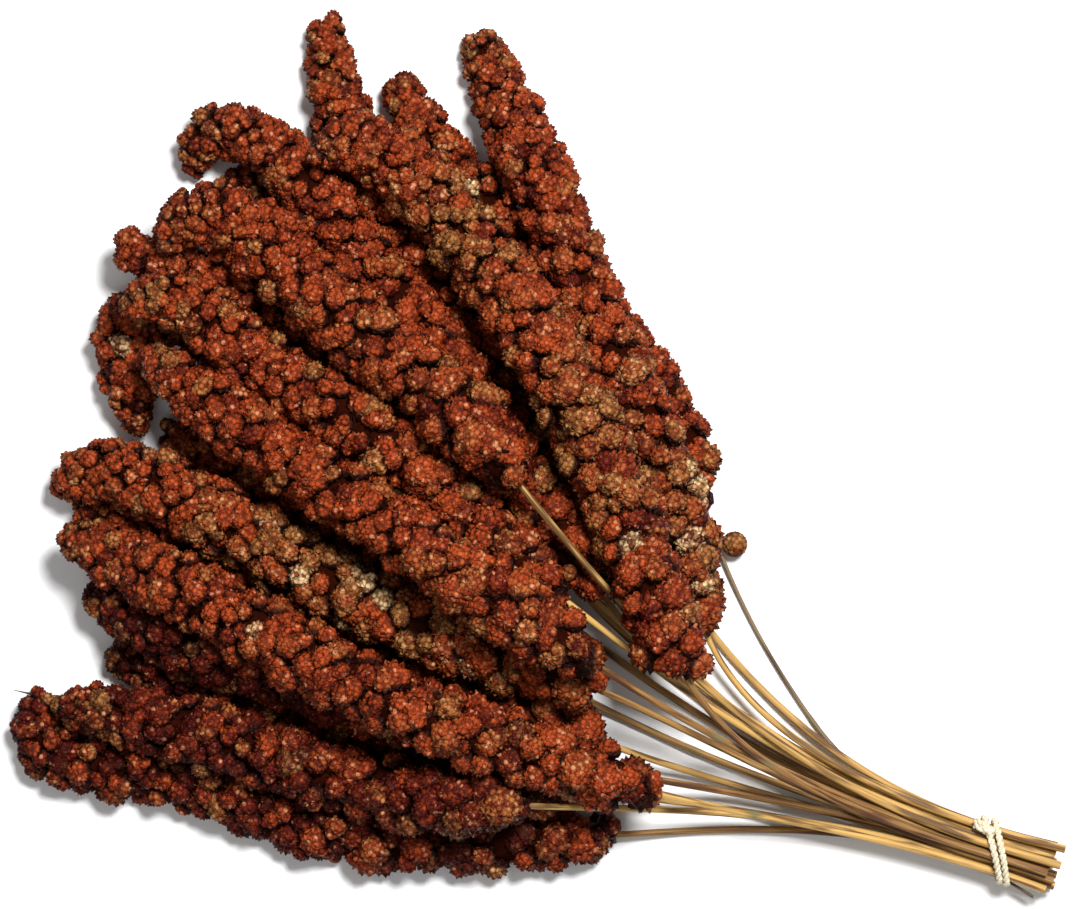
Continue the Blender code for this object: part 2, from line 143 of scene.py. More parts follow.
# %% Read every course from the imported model
RING_REACH_STRAW = 6 * MM
RING_REACH_HEAD = 8.5 * MM
RING_REACH_LOOSE = 2 * MM
LINE_STEP = 1 * MM
courses = {}
for stem in STEMS:
    corners = np.array([corner.co[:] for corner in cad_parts[stem].data.vertices])
    far_end = corners[np.linalg.norm(corners - tie_middle, axis=1).argmax()]
    middles, radii = walk_rings(stem, far_end, RING_REACH_STRAW)
    courses[stem] = smooth_line(middles, radii, LINE_STEP, 4)
for head, stem in zip(HEADS, STEMS):
    middles, radii = walk_rings(head, courses[stem][0, :3], RING_REACH_HEAD)
    courses[head] = smooth_line(middles, radii, LINE_STEP, 6)[::-1]
    reach = len(courses[head]) * LINE_STEP / MM
    print(f"{head}: {reach:.0f} mm long, {2 * courses[head][:, 3].max() / MM:.1f} mm thick")
corners = np.array([corner.co[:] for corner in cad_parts["straw_loose"].data.vertices])
middles, radii = walk_rings("straw_loose", corners[corners[:, 0].argmin()], RING_REACH_LOOSE)
courses["straw_loose"] = smooth_line(middles, radii, LINE_STEP, 2)

# %% [markdown]
# ## Shader arithmetic
#
# A material is a net of nodes, and most of them are plain sums. A small class wraps a socket, so
# that sums are written as Python and add their Math nodes. Every other node comes from one
# method, which sets the node's own settings first and then its sockets.


# %% A socket that can be added and multiplied
class Signal:
    """A shader value. Arithmetic on it adds Math nodes."""

    def __init__(self, paint, socket):
        self.paint = paint
        self.socket = socket

    def math(self, operation, first, second):
        return self.paint.node("ShaderNodeMath", {"operation": operation}, {0: first, 1: second})

    def __add__(self, other):
        return self.math("ADD", self, other)

    def __rsub__(self, other):
        return self.math("SUBTRACT", other, self)

    def __mul__(self, other):
        return self.math("MULTIPLY", self, other)

    __radd__ = __add__
    __rmul__ = __mul__


class Paint:
    """One material and its nodes."""

    def __init__(self, name, **fixed):
        self.material = bpy.data.materials.new(name)
        self.material.use_nodes = True
        self.tree = self.material.node_tree
        self.shader = self.tree.nodes["Principled BSDF"]
        for socket, value in fixed.items():
            self.shader.inputs[socket.replace("_", " ")].default_value = value

    def node(self, kind, settings=None, sockets=None, output=0):
        """Adds a node, with its settings first and then its values or links."""
        made = self.tree.nodes.new(kind)
        for key, value in (settings or {}).items():
            setattr(made, key, value)
        for key, value in (sockets or {}).items():
            self.feed(made.inputs[key], value)
        return Signal(self, made.outputs[output])

    def feed(self, socket, value):
        if isinstance(value, Signal):
            self.tree.links.new(value.socket, socket)
        else:
            socket.default_value = value

    def attribute(self, name):
        return self.node("ShaderNodeAttribute", {"attribute_name": name}, output="Fac")

    def noise(self, size, detail=2.0, place=None):
        """Noise with features of about the size given, on the object's own coordinates."""
        place = place or self.node("ShaderNodeTexCoord", output="Object")
        return self.node("ShaderNodeTexNoise", {}, {"Vector": place, "Scale": 1 / size,
                                                     "Detail": detail})

    def cells(self, size):
        """Cells of about the size given: the distance to each one's middle, and its number."""
        place = self.node("ShaderNodeTexCoord", output="Object")
        sockets = {"Vector": place, "Scale": 1 / size, "Randomness": 0.85}
        distance = self.node("ShaderNodeTexVoronoi", {}, sockets, "Distance")
        cell = Signal(self, distance.socket.node.outputs["Color"])
        return distance, self.node("ShaderNodeSeparateColor", {}, {0: cell})

    def between(self, value, low, high):
        """0 below low, 1 above high, and smooth in between."""
        return self.node("ShaderNodeMapRange", {"interpolation_type": "SMOOTHSTEP"},
                         {"Value": value, "From Min": low, "From Max": high})

    def mix(self, share, first, second):
        """From the first colour to the second by a share."""
        return self.node("ShaderNodeMix", {"data_type": "RGBA"}, {0: share, 6: first, 7: second}, 2)

    def finish(self, **linked):
        for socket, value in linked.items():
            self.feed(self.shader.inputs[socket.replace("_", " ")], value)
        return self.material


def color(red, green, blue):
    """A colour picked on a screen, 0 to 255, as the light values that shaders work in."""
    shares = [channel / 255 for channel in (red, green, blue)]
    return (*[((share + 0.055) / 1.055) ** 2.4 if share > 0.04 else share / 12.92
              for share in shares], 1)


# %% [markdown]
# ## Millet seed
#
# A seed is a bead of little more than a millimetre, so the seeds are cells in the material, each
# with its own colour and its own raised middle, while the clusters are real shapes. The seeds run
# from deep red to orange, with a painted highlight on a seed here and there and painted shade in
# the grooves between them. Some stretches are riper and golden, and a few clusters nearly cream.
# Each cluster has painted light on its crown and painted shade at its foot.


# %% The finish of the seeds
SEED_SIZE = 2.0 * MM
SEED_HEIGHT = 0.8 * MM
PATCH_SIZE = 6 * MM


def seed_finish():
    paint = Paint("millet seed", Specular_IOR_Level=0.1)
    distance, number = paint.cells(SEED_SIZE)
    tone_and_shade, gold = paint.attribute("tone_and_shade"), paint.attribute("gold")
    pale, rise = paint.attribute("pale"), paint.attribute("rise")
    bead = 1 - paint.between(distance, 0.3, 0.85)
    patch = paint.noise(PATCH_SIZE, 3.0)
    # The rise term is painted light on the crown of each cluster. The tone attribute holds random
    # tone together with painted shade and light.
    shade = paint.between(number * 0.6 + tone_and_shade * 0.5 + patch * 0.7 + rise * 0.2, 0.55, 1.45)
    rust = paint.mix(shade, color(74, 10, 4), color(157, 63, 25))
    golden = paint.mix(number, color(102, 46, 18), color(168, 115, 62))
    cream = paint.mix(number, color(164, 110, 62), color(228, 198, 146))
    skin = paint.mix(paint.between(gold + number * 0.3, 0.35, 0.95), rust, golden)
    skin = paint.mix(paint.between(pale + number * 0.3, 0.55, 0.95), skin, cream)
    # Painted highlight: a pale glint on a few seeds.
    painted_glint = paint.between(number, 0.9, 0.94) * bead
    skin = paint.mix(painted_glint * 0.45, skin, color(200, 144, 108))
    # Painted shade in the grooves between the seeds.
    skin = paint.mix(bead, paint.mix(0.7, skin, color(44, 8, 2)), skin)
    # Painted shade at the foot of each cluster, deeper on heads that carry painted shade.
    painted_lit = paint.between(rise, 0.05, 0.65) * (0.55 + 0.45 * paint.between(tone_and_shade, -0.7, 0.2))
    skin = paint.mix(painted_lit, color(30, 5, 1), skin)
    bump = paint.node("ShaderNodeBump", {}, {"Strength": 0.9, "Distance": SEED_HEIGHT,
                                             "Height": bead})
    return paint.finish(Base_Color=skin, Roughness=0.7 - bead * 0.25, Normal=bump)


# %% The finish of the stalk inside a head, near-black as painted shade between the clusters
def stalk_painted_shade_finish():
    paint = Paint("dark stalk", Roughness=1.0, Specular_IOR_Level=0.0)
    grain = paint.noise(1.5 * MM, 3.0)
    return paint.finish(Base_Color=paint.mix(grain, color(18, 5, 2), color(48, 14, 6)))


seed_skin = seed_finish()
stalk_painted_shade_skin = stalk_painted_shade_finish()
print("nodes of the seed material", len(seed_skin.node_tree.nodes))

# %% [markdown]
# ## One cluster of seeds
#
# A cluster is a lumpy ball the size of a pea. An ico sphere has even faces and no poles. Poking a
# face raises its middle, which gives the ball its knobs. The inner end of the ball is never seen,
# so it is cut off and closed with one face. A few of these balls, each shaken a little
# differently, are then copied thousands of times, so every face that is saved here counts.


# %% Model the cluster
INNER_END = -0.45
KNOBS_FROM = -0.2  # faces that look further in than this stay flat
FOOT, FOOT_TO_CROWN = -0.1, 0.8


def deselect_all():
    for thing in bpy.context.selected_objects:
        thing.select_set(False)


def open_for_edit(piece):
    deselect_all()
    piece.select_set(True)
    bpy.context.view_layer.objects.active = piece
    bpy.ops.object.mode_set(mode="EDIT")


def model_cluster(subdivisions, knob, shake, number):
    """A ball of radius 1 that faces +Z: its corners, triangles and how far out each corner is."""
    deselect_all()
    bpy.ops.mesh.primitive_ico_sphere_add(subdivisions=subdivisions, radius=1)
    ball = bpy.context.object
    open_for_edit(ball)
    bpy.ops.mesh.select_mode(type="FACE")
    bpy.ops.mesh.select_all(action="SELECT")
    bpy.ops.mesh.bisect(plane_co=(0, 0, INNER_END), plane_no=(0, 0, 1), use_fill=True,
                        clear_inner=True)
    bpy.ops.object.mode_set(mode="OBJECT")
    for face in ball.data.polygons:
        face.select = face.normal.z > KNOBS_FROM
    open_for_edit(ball)
    bpy.ops.mesh.poke(offset=knob)
    bpy.ops.mesh.select_all(action="SELECT")
    bpy.ops.transform.vertex_random(offset=shake, seed=number)
    bpy.ops.mesh.quads_convert_to_tris()
    bpy.ops.object.mode_set(mode="OBJECT")
    corners = np.array([corner.co[:] for corner in ball.data.vertices])
    faces = np.array([face.vertices[:] for face in ball.data.polygons])
    bpy.data.objects.remove(ball)
    return corners, faces, np.clip((corners[:, 2] - FOOT) / FOOT_TO_CROWN, 0, 1)


fine_clusters = [model_cluster(2, 0.3, 0.13, number) for number in range(1, 7)]
coarse_clusters = [model_cluster(1, 0.2, 0.08, number) for number in range(1, 4)]
print("triangles of a fine cluster", len(fine_clusters[0][1]), "of a coarse one",
      len(coarse_clusters[0][1]))

# %% [markdown]
# ## Where the clusters sit
#
# Round a real head the clusters follow a spiral, each turned from the last by the golden angle,
# so none sits straight above another and the surface is covered evenly. They are small and close
# at the tip, and large and apart at the base. They also swell in groups, which makes the head
# lobed: a sum of a few slow waves along and round the head pushes whole groups out or in.


# %% Set the clusters along a head
GOLDEN_ANGLE = math.pi * (3 - math.sqrt(5))
CLUSTER_AT_TIP = 5.2 * MM
CLUSTER_AT_BASE = 11.2 * MM
COVER_AT_TIP = 0.82  # ground that a cluster takes, against the square of its width
COVER_AT_BASE = 0.95
FIRST_CLUSTER, LAST_CLUSTER = 1.5 * MM, 1 * MM  # from the tip and from the base
SWELL = 0.7  # how early the clusters grow wide on the way from tip to base
SWAY = 0.3  # of a cluster's width, off its place on the spiral
MIDDLE_DEPTH = 0.2  # of its width: how deep in the head a cluster's middle lies
WIDTH_SPREAD = (0.7, 1.25)
LEAN = math.radians(28)  # how far a cluster leans towards the tip
TIP_LEAN, TIP_REACH = math.radians(55), 12 * MM  # more lean close to the tip
BASE_LEAN, BASE_REACH = math.radians(90), 10 * MM  # and back towards the straw at the base
LOBES_FROM = 20 * MM  # from the tip, where the lobes have their full height
BALL_SIZE = 1.12  # a ball is a little wider than its place, so that it meets its neighbours
REACH_SPREAD = (0.93, 1.06)  # of its distance from the middle line
LOBES = ((21 * MM, 3, 0.125), (17 * MM, 1, 0.05), (27 * MM, -2, 0.05))  # wave, waves round, height


def spiral_places(line, rng):
    """Rows of place on the line, angle round it and cluster width."""
    length = (len(line) - 1) * LINE_STEP
    steps = np.arange(len(line)) * LINE_STEP
    along, turn = FIRST_CLUSTER, rng.uniform(0, 2 * math.pi)
    rows = []
    while along < length - LAST_CLUSTER:
        share = along / length
        width = CLUSTER_AT_TIP + (CLUSTER_AT_BASE - CLUSTER_AT_TIP) * share**SWELL
        cover = COVER_AT_TIP + (COVER_AT_BASE - COVER_AT_TIP) * share
        radius = max(np.interp(along, steps, line[:, 3]), width / 2)
        sway = rng.uniform(-SWAY, SWAY, 2) * width
        rows.append((along + sway[0], turn + sway[1] / radius,
                     width * rng.uniform(*WIDTH_SPREAD)))
        along += cover * width**2 / (2 * math.pi * (radius - width * MIDDLE_DEPTH))
        turn += GOLDEN_ANGLE
    return np.array(rows)


def crest(angle):
    """A wave from -1 to 1 with wide crests and narrow hollows."""
    return 1 - 2 * ((1 - np.sin(angle)) / 2) ** 2


def cluster_places(line, rng):
    """For each cluster: middle, way it faces, radius, share of the length and lobe height."""
    rows = spiral_places(line, rng)
    steps = np.arange(len(line)) * LINE_STEP
    at = np.clip(rows[:, 0], 0, steps[-1])
    ahead, side, up = [np.stack([np.interp(at, steps, column) for column in ways.T], 1)
                       for ways in line_frames(line)]
    middle = np.stack([np.interp(at, steps, column) for column in line[:, :3].T], 1)
    radius = np.interp(at, steps, line[:, 3])
    out = side * np.cos(rows[:, 1])[:, None] + up * np.sin(rows[:, 1])[:, None]
    lobe = sum(height * crest(2 * math.pi * (at / wave + rng.uniform()) + turns * rows[:, 1])
               for wave, turns, height in LOBES)
    ball = rows[:, 2] / 2 * BALL_SIZE
    reach = np.clip(radius * (1 + lobe * np.clip(at / LOBES_FROM, 0, 1)) - ball, 0, None)
    reach *= rng.uniform(*REACH_SPREAD, len(rows))
    lean = LEAN + (1 - np.clip(at / TIP_REACH, 0, 1)) * TIP_LEAN
    lean -= (1 - np.clip((steps[-1] - at) / BASE_REACH, 0, 1)) * BASE_LEAN
    facing = out * np.cos(lean)[:, None] - ahead * np.sin(lean)[:, None]
    return middle + out * reach[:, None], facing, ball, at / steps[-1], lobe


# %% Copy the clusters into one mesh
def turned_copies(pattern, middles, facings, sizes, rng):
    """The corners of every copy of a pattern that faces +Z."""
    facings = facings / np.linalg.norm(facings, axis=1)[:, None]
    helper = np.where(abs(facings[:, 2:]) < 0.9, (0.0, 0.0, 1.0), (1.0, 0.0, 0.0))
    first = np.cross(helper, facings)
    first /= np.linalg.norm(first, axis=1)[:, None]
    second = np.cross(facings, first)
    spin = rng.uniform(0, 2 * math.pi, len(middles))[:, None]
    across = first * np.cos(spin) + second * np.sin(spin)
    other = second * np.cos(spin) - first * np.sin(spin)
    turns = np.stack([across, other, facings], axis=1)
    return middles[:, None] + np.einsum("vi,nij->nvj", pattern, turns * sizes[:, :, None])


def new_piece(name, corners, faces, material):
    mesh = bpy.data.meshes.new(name)
    mesh.from_pydata(corners, [], faces)
    mesh.materials.append(material)
    mesh.shade_smooth()
    piece = bpy.data.objects.new(name, mesh)
    bpy.context.scene.collection.objects.link(piece)
    return piece


def write_attribute(mesh, name, values):
    attribute = mesh.attributes.new(name, "FLOAT", "POINT")
    attribute.data.foreach_set("value", np.asarray(values, np.float32))


def settle(piece, node):
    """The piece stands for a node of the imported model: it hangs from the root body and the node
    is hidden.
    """
    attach(piece, "root")
    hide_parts(node)


# %% Which clusters are in the open
def heads_tree():
    corners, faces = [], []
    for head in HEADS:
        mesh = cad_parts[head].data
        first = len(corners)
        corners += [corner.co[:] for corner in mesh.vertices]
        faces += [[first + index for index in face.vertices] for face in mesh.polygons]
    return BVHTree.FromPolygons(corners, faces)


def sky_ways(count):
    """Directions spread evenly over the upper half of a ball."""
    number = np.arange(count) + 0.5
    height = number / count
    turn = number * GOLDEN_ANGLE
    flat = np.sqrt(1 - height**2)
    return np.stack([flat * np.cos(turn), flat * np.sin(turn), height], axis=1)


tree = heads_tree()
SKY = [Vector(way) for way in sky_ways(24)]
SKY_REACH = 0.15  # how far a ray looks for another head
RAY_START = 1.3  # of the cluster's radius, so that it starts outside its own head
print("rays to the sky from each cluster", len(SKY))


def openness(middles, facings, sizes):
    """Share of the sky that each cluster's outer side sees past the other heads."""
    shares = []
    for middle, facing, size in zip(middles, facings, sizes):
        start = Vector(middle + facing * size * RAY_START)
        free = sum(1 for way in SKY if tree.ray_cast(start, way, SKY_REACH)[0] is None)
        shares.append(free / len(SKY))
    return np.array(shares)


# %% [markdown]
# ## The colours of the heads
#
# No two heads of a bunch ripen alike. Those along the near edge have painted shade, and one in
# the middle, which lies in shade, has painted light. The uppermost one on the far side is golden in
# two stretches, and one in the middle has a stretch of nearly cream clusters. The tips of all of
# them are a little golden. Crests of the lobes have painted light and their hollows painted shade.


# %% Where a head is dark, golden or pale
TONE, GOLD = (0.5, 0.25), (0.04, 0.22)  # mean and spread
CREST_PAINTED_LIGHT, CREST_GOLD = 2.6, 0.8  # against the height of the lobe: more tone, as painted light on crests and painted shade in hollows, and more gold
TIP_GOLD, TIP_GOLD_REACH = 0.3, 0.07
BASE_GOLD, BASE_GOLD_FROM = 0.12, 0.7
PALE_RANGE = (0.3, 0.75)
# Painted shade that a head's tone loses (below nothing, painted light for a head in shade), and for
# each stretch its middle, half width and strength
PAINTED_SHADE_AND_LIGHT = {"head_01": 0.7, "head_05": 1.0, "head_10": 0.95, "head_12": 0.75, "head_08": 0.5,
          "head_16": -0.9}
# head_16's broad golden stretch is partly painted light, as that head lies in shade.
GOLDEN = {"head_20": ((0.27, 0.1, 0.55), (0.62, 0.1, 0.6)), "head_14": ((0.75, 0.12, 0.35),),
          "head_12": ((0.1, 0.08, 0.2),), "head_15": ((0.1, 0.08, 0.2),),
          "head_16": ((0.55, 0.3, 0.45),)}
PALE = {"head_16": ((0.62, 0.14, 0.5),), "head_14": ((0.85, 0.1, 0.12),),
        "head_20": ((0.9, 0.1, 0.1),)}
STRAY_PALE = 0.004  # share of pale clusters anywhere else


def stretches(share, places):
    """How strongly each cluster has a colour that comes in stretches: middle, half width, most."""
    return sum(most * np.exp(-((share - middle) / width) ** 2) for middle, width, most in places)


def cluster_colors(head, share, lobe, rng):
    """Tone, gold and pale of each cluster. Those on the crest of a lobe have painted light, those
    in its hollows painted shade.
    """
    count = len(share)
    # Painted shade per head (painted light where negative), and painted light on lobe crests with
    # painted shade in their hollows.
    tone_and_shade = rng.normal(*TONE, count) - PAINTED_SHADE_AND_LIGHT.get(head, 0) + CREST_PAINTED_LIGHT * lobe
    gold = rng.normal(*GOLD, count) + TIP_GOLD * np.exp(-share / TIP_GOLD_REACH)
    gold += BASE_GOLD * (share > BASE_GOLD_FROM)
    gold += CREST_GOLD * lobe
    gold = gold + stretches(share, GOLDEN.get(head, ()))
    chance = STRAY_PALE + stretches(share, PALE.get(head, ()))
    pale = np.where(rng.uniform(size=count) < chance, rng.uniform(*PALE_RANGE, count), 0)
    return [np.clip(tone_and_shade, -0.7, 1), np.clip(gold, 0, 1), pale]


# %% The stalk inside a head
CORE_SIDES = 10
CORE_STEP = 5
CORE_SHARE = 0.66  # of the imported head's radius
CORE_END = 0.4 * MM


def core_tube(line):
    """A closed tube that the clusters stand on: its corners and triangles."""
    rows = line[::CORE_STEP]
    ahead, side, up = line_frames(rows)
    turns = np.arange(CORE_SIDES) * 2 * math.pi / CORE_SIDES
    radius = np.minimum(rows[:, 3], line[len(line) // 2, 3]) * CORE_SHARE
    radius[0] = radius[-1] = CORE_END
    way = side[:, None] * np.cos(turns)[None, :, None] + up[:, None] * np.sin(turns)[None, :, None]
    corners = (rows[:, None, :3] + way * radius[:, None, None]).reshape(-1, 3)
    faces = []
    for ring in range(len(rows) - 1):
        for side_number in range(CORE_SIDES):
            following = (side_number + 1) % CORE_SIDES
            near, far = ring * CORE_SIDES, (ring + 1) * CORE_SIDES
            faces.append((near + side_number, near + following, far + following))
            faces.append((near + side_number, far + following, far + side_number))
    last = (len(rows) - 1) * CORE_SIDES
    for side_number in range(1, CORE_SIDES - 1):
        faces.append((0, side_number + 1, side_number))
        faces.append((last, last + side_number, last + side_number + 1))
    return corners, np.array(faces)


# %% [markdown]
# ## Buds on the clusters
#
# A cluster that lies in the open is no plain ball: one or two small buds stand on its outer side.
# They are the coarse ball again, at about half the size, and have the colour of their cluster.


# %% Add the buds
BUD_SIZES = (0.38, 0.58)
BUD_TILTS = (math.radians(30), math.radians(80))
BUD_CHANCES = (0.95, 0.7)  # of a first and of a second bud
BUD_REACH = 0.82  # of the cluster's radius


def add_buds(middles, facings, sizes, colors, shown, rng):
    """The clusters again with their buds after them, and which of them all are fine."""
    parents = np.concatenate([np.flatnonzero(shown & (rng.uniform(size=len(sizes)) < chance))
                              for chance in BUD_CHANCES])
    facing = facings[parents] / np.linalg.norm(facings[parents], axis=1)[:, None]
    sideways = np.cross(facing, rng.normal(size=facing.shape))
    sideways /= np.linalg.norm(sideways, axis=1)[:, None]
    tilt = rng.uniform(*BUD_TILTS, len(parents))[:, None]
    way = facing * np.cos(tilt) + sideways * np.sin(tilt)
    bud_middles = middles[parents] + way * sizes[parents, None] * BUD_REACH
    bud_sizes = sizes[parents] * rng.uniform(*BUD_SIZES, len(parents))
    bud_colors = [np.concatenate([values, values[parents]]) for values in colors]
    fine = np.concatenate([shown, np.zeros(len(parents), bool)])
    return (np.vstack([middles, bud_middles]), np.vstack([facings, way]),
            np.concatenate([sizes, bud_sizes]), bud_colors, fine)


# %% Make the heads
OPEN_ENOUGH = 0.25  # share of the sky from which a cluster is worth the fine ball
STRETCH = ((0.8, 0.8, 0.9), (1.15, 1.15, 1.25))  # least and most, twice across and outwards
PRESS = 0.5  # square millimetres: how gently the table bends what would go through it


def on_the_table(corners):
    """The corners with those below the table pressed up to it."""
    height = corners[:, 2] / MM
    corners[:, 2] = (height + np.sqrt(height**2 + PRESS)) / 2 * MM
    return corners


def make_head(number, head):
    rng = np.random.default_rng(SEED + number)
    middles, facings, sizes, share, lobe = cluster_places(courses[head], rng)
    shown = openness(middles, facings, sizes) > OPEN_ENOUGH
    colors = cluster_colors(head, share, lobe, rng)
    middles, facings, sizes, colors, shown = add_buds(middles, facings, sizes, colors, shown, rng)
    patterns = fine_clusters + coarse_clusters
    kind = np.where(shown, rng.integers(0, len(fine_clusters), len(sizes)),
                    rng.integers(len(fine_clusters), len(patterns), len(sizes)))
    core_corners, core_faces = core_tube(courses[head])
    corner_runs, face_runs = [core_corners], [core_faces]
    used = len(core_corners)
    rises = [np.zeros(used)]
    shades = [[np.zeros(used)] for _ in colors]
    for sort, (pattern, triangles, rise) in enumerate(patterns):
        picked = np.flatnonzero(kind == sort)
        stretch = rng.uniform(*STRETCH, (len(picked), 3))
        scales = sizes[picked, None] * stretch
        copies = turned_copies(pattern, middles[picked], facings[picked], scales, rng)
        starts = used + np.arange(len(picked)) * len(pattern)
        corner_runs.append(copies.reshape(-1, 3))
        face_runs.append((triangles[None] + starts[:, None, None]).reshape(-1, 3))
        rises.append(np.tile(rise, len(picked)))
        for run, values in zip(shades, colors):
            run.append(np.repeat(values[picked], len(pattern)))
        used += len(picked) * len(pattern)
    corners = on_the_table(np.concatenate(corner_runs))
    piece = new_piece(f"{head}_seeds", corners, np.concatenate(face_runs), seed_skin)
    piece.data.materials.append(stalk_painted_shade_skin)
    on_stalk = np.arange(len(piece.data.polygons)) < len(core_faces)
    piece.data.polygons.foreach_set("material_index", on_stalk.astype(np.int32))
    write_attribute(piece.data, "rise", np.concatenate(rises))
    for name, run in zip(("tone_and_shade", "gold", "pale"), shades):
        write_attribute(piece.data, name, np.concatenate(run))
    settle(piece, head)
    faces = len(piece.data.polygons)
    print(head, len(sizes), "clusters and buds,", int(shown.sum()), "fine,", faces, "faces")
    return faces


total = sum(make_head(number, head) for number, head in enumerate(HEADS, 1))
print("seed triangles", total)

# %% [markdown]
# ## Straw
#
# A straw is a tube with fine grooves along it, golden where it is clean and brown where the leaf
# was stripped, with a thicker grey-green joint here and there. Each is modelled straight, as a
# cylinder with rings, a groove pattern and a hollow cut end, and then bent along its course by a
# Curve modifier. Its place along and round are written on it before it is bent, so the streaks of
# the material follow it.


# %% The finish of straw
JOINT_COLOR = color(104, 98, 66)


def straw_finish(name, dark, light, streak):
    paint = Paint(name, Specular_IOR_Level=0.3)
    around, along = paint.attribute("around"), paint.attribute("along")
    tone_and_shade, joint = paint.attribute("tone_and_shade"), paint.attribute("joint")
    place = paint.node("ShaderNodeCombineXYZ", {}, {0: around, 1: along * 0.012, 2: tone_and_shade * 7})
    fibre = paint.noise(0.3, 3.0, place)
    place = paint.node("ShaderNodeCombineXYZ", {}, {0: around * 0.3, 1: along * 0.016, 2: tone_and_shade * 9})
    blotch = paint.noise(0.5, 2.0, place)
    skin = paint.mix(paint.between(fibre * 0.7 + tone_and_shade * 0.6, 0.3, 0.95), dark, light)
    skin = paint.mix(paint.between(blotch, 0.46, 0.62) * 0.8, skin, streak)
    skin = paint.mix(joint, skin, JOINT_COLOR)
    bump = paint.node("ShaderNodeBump", {}, {"Strength": 0.6, "Distance": 0.25 * MM,
                                             "Height": fibre})
    return paint.finish(Base_Color=skin, Roughness=0.65 - fibre * 0.15, Normal=bump)


golden_straw = straw_finish("golden straw", color(84, 40, 14), color(192, 152, 84),
                            color(54, 18, 6))
grey_straw = straw_finish("grey straw", color(62, 48, 34), color(118, 98, 72), color(48, 34, 24))

# %% Model a straight straw
STRAW_SIDES = 14
GROOVES = 7
RING_STEP = 5 * MM
HOLLOW = 2 * MM
WALL = 0.3 * MM
GROOVE_DEPTH = 0.05
JOINT_HALF = 1.6 * MM
JOINT_SWELL = 0.22


def straight_straw(name, length):
    """A cylinder along +X from the origin, with rings, its last end hollow."""
    deselect_all()
    bpy.ops.mesh.primitive_cylinder_add(vertices=STRAW_SIDES, radius=1 * MM, depth=length,
                                        location=(length / 2, 0, 0), rotation=(0, math.pi / 2, 0))
    straw = bpy.context.object
    straw.name = name
    bpy.ops.object.transform_apply(location=True, rotation=True, scale=True)
    mesh = straw.data
    open_for_edit(straw)
    bpy.ops.mesh.select_mode(type="EDGE")
    bpy.ops.mesh.select_all(action="DESELECT")
    bpy.ops.object.mode_set(mode="OBJECT")
    for edge in mesh.edges:
        first, second = (mesh.vertices[index].co.x for index in edge.vertices)
        edge.select = abs(first - second) > length / 2
    open_for_edit(straw)
    bpy.ops.mesh.subdivide(number_cuts=max(1, round(length / RING_STEP)))
    bpy.ops.mesh.select_mode(type="FACE")
    bpy.ops.mesh.select_all(action="DESELECT")
    bpy.ops.object.mode_set(mode="OBJECT")
    for face in mesh.polygons:
        face.select = face.normal.x > 0.9
    open_for_edit(straw)
    bpy.ops.mesh.inset(thickness=WALL)
    bpy.ops.mesh.extrude_region_move(TRANSFORM_OT_translate={"value": (-HOLLOW, 0, 0)})
    bpy.ops.object.mode_set(mode="OBJECT")
    return straw


def shape_straw(straw, line, joints, tone_and_shade):
    """Its thickness, grooves and joints, and what its material reads."""
    mesh = straw.data
    places = np.array([corner.co[:] for corner in mesh.vertices])
    along = places[:, 0].copy()
    turn = np.arctan2(places[:, 1], places[:, 2])
    radius = np.interp(along, np.arange(len(line)) * LINE_STEP, line[:, 3])
    joint = np.zeros(len(along))
    for place in joints:
        joint += np.exp(-((along - place) / JOINT_HALF) ** 2)
    inner = np.linalg.norm(places[:, 1:], axis=1) / MM
    groove = 1 + GROOVE_DEPTH * np.cos(turn * GROOVES)
    places[:, 1:] *= (radius * (groove + JOINT_SWELL * joint) / MM)[:, None]
    mesh.vertices.foreach_set("co", places.ravel())
    write_attribute(mesh, "along", along / MM)
    write_attribute(mesh, "around", turn)
    write_attribute(mesh, "joint", np.clip(joint, 0, 1))
    # The inner corners of the hollow end get a lower tone: painted shade inside the hollow.
    write_attribute(mesh, "tone_and_shade", np.full(len(along), tone_and_shade) - 0.5 * (inner < 0.9))


# %% Bend it along its course
def bend_along(straw, line):
    data = bpy.data.curves.new("course", "CURVE")
    data.dimensions = "3D"
    spline = data.splines.new("POLY")
    points = line[::3] if (len(line) - 1) % 3 == 0 else np.vstack([line[::3], line[-1:]])
    spline.points.add(len(points) - 1)
    for knot, row in zip(spline.points, points):
        knot.co = (*row[:3], 1)
    course = bpy.data.objects.new("course", data)
    bpy.context.scene.collection.objects.link(course)
    deselect_all()
    straw.select_set(True)
    bpy.context.view_layer.objects.active = straw
    bpy.ops.object.modifier_add(type="CURVE")
    straw.modifiers[-1].object = course
    bpy.ops.object.modifier_apply(modifier=straw.modifiers[-1].name)
    bpy.data.objects.remove(course)


def make_straw(name, line, joints, tone_and_shade, material):
    straw = straight_straw(name, (len(line) - 1) * LINE_STEP)
    shape_straw(straw, line, joints, tone_and_shade)
    bend_along(straw, line)
    straw.data.materials.clear()
    straw.data.materials.append(material)
    deselect_all()
    straw.select_set(True)
    bpy.ops.object.shade_smooth_by_angle(angle=math.radians(50))
    return straw


